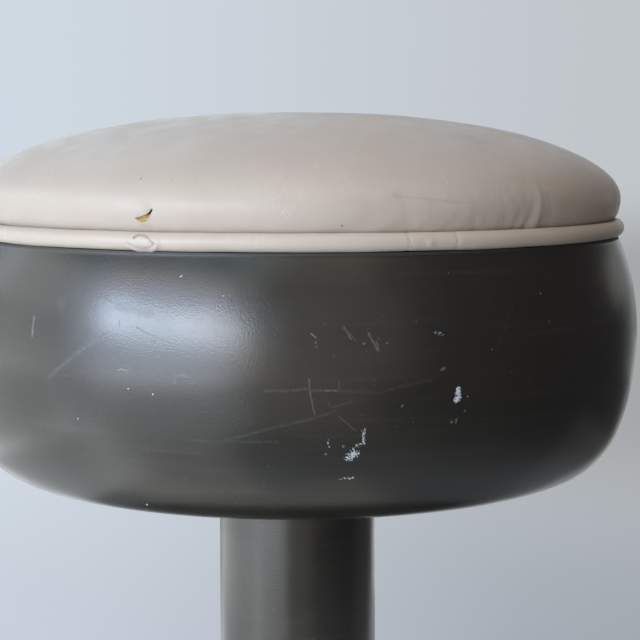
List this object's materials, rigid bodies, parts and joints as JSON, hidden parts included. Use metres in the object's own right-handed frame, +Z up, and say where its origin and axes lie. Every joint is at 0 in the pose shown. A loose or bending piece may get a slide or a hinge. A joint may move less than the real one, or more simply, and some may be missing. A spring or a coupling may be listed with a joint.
{
  "type": "swivel pedestal stool",
  "caption": "Low round stool: piped leather cushion on a spun steel drum that turns on a ball bearing in a tubular column, over a weighted dish base with a rubber floor ring.",
  "frame": {"origin": "on the floor, under the column's axis", "axes": "+Z up along the swivel axis; +X and +Y are arbitrary, with the side seen in the picture facing -Y"},
  "size_m": [0.38, 0.38, 0.4497],
  "materials": {
    "paint": "satin",
    "leather": "satin",
    "foam": "matte",
    "plywood": "matte",
    "steel": "satin",
    "zinc": "satin",
    "bearing_steel": "polished",
    "nylon": "matte",
    "iron": "matte",
    "rubber": "matte"
  },
  "bodies": {
    "base": {"floor_ring": "rubber", "ballast_plate": "iron", "base_dish": "paint", "base_bolt": "zinc", "base_washer": "zinc", "column_tube": "paint", "column_foot_plate": "steel", "upper_bearing_plug": "nylon", "lower_bearing_plug": "nylon", "lower_race": "bearing_steel"},
    "bearing_cage": {"ball_cage": "nylon", "bearing_ball_01": "bearing_steel", "bearing_ball_02": "bearing_steel", "bearing_ball_03": "bearing_steel", "bearing_ball_04": "bearing_steel", "bearing_ball_05": "bearing_steel", "bearing_ball_06": "bearing_steel", "bearing_ball_07": "bearing_steel", "bearing_ball_08": "bearing_steel", "bearing_ball_09": "bearing_steel", "bearing_ball_10": "bearing_steel", "bearing_ball_11": "bearing_steel", "bearing_ball_12": "bearing_steel"},
    "seat": {"upper_race": "bearing_steel", "swivel_stem": "steel", "retaining_ring": "bearing_steel", "retaining_washer": "zinc", "swivel_plate": "steel", "seat_drum": "paint", "tie_bolt_1": "zinc", "tie_bolt_2": "zinc", "tie_bolt_3": "zinc", "tie_bolt_4": "zinc", "tie_washer_1": "zinc", "tie_washer_2": "zinc", "tie_washer_3": "zinc", "tie_washer_4": "zinc", "spacer_tube_1": "zinc", "spacer_tube_2": "zinc", "spacer_tube_3": "zinc", "spacer_tube_4": "zinc", "tee_nut_1": "zinc", "tee_nut_2": "zinc", "tee_nut_3": "zinc", "tee_nut_4": "zinc", "seat_board": "plywood", "foam_pad": "foam", "cushion_cover": "leather", "piping": "leather"}
  },
  "joints": [
    {"name": "seat_swivel", "type": "hinge", "parent": "base", "child": "seat", "pos_m": [0, 0, 0.2642], "axis": [0, 0, 1], "continuous": true},
    {"name": "cage_roll", "type": "hinge", "parent": "base", "child": "bearing_cage", "pos_m": [0, 0, 0.2642], "axis": [0, 0, 1], "continuous": true}
  ],
  "couplings": [
    {"joint": "cage_roll", "follows": "seat_swivel", "ratio": 0.5}
  ]
}
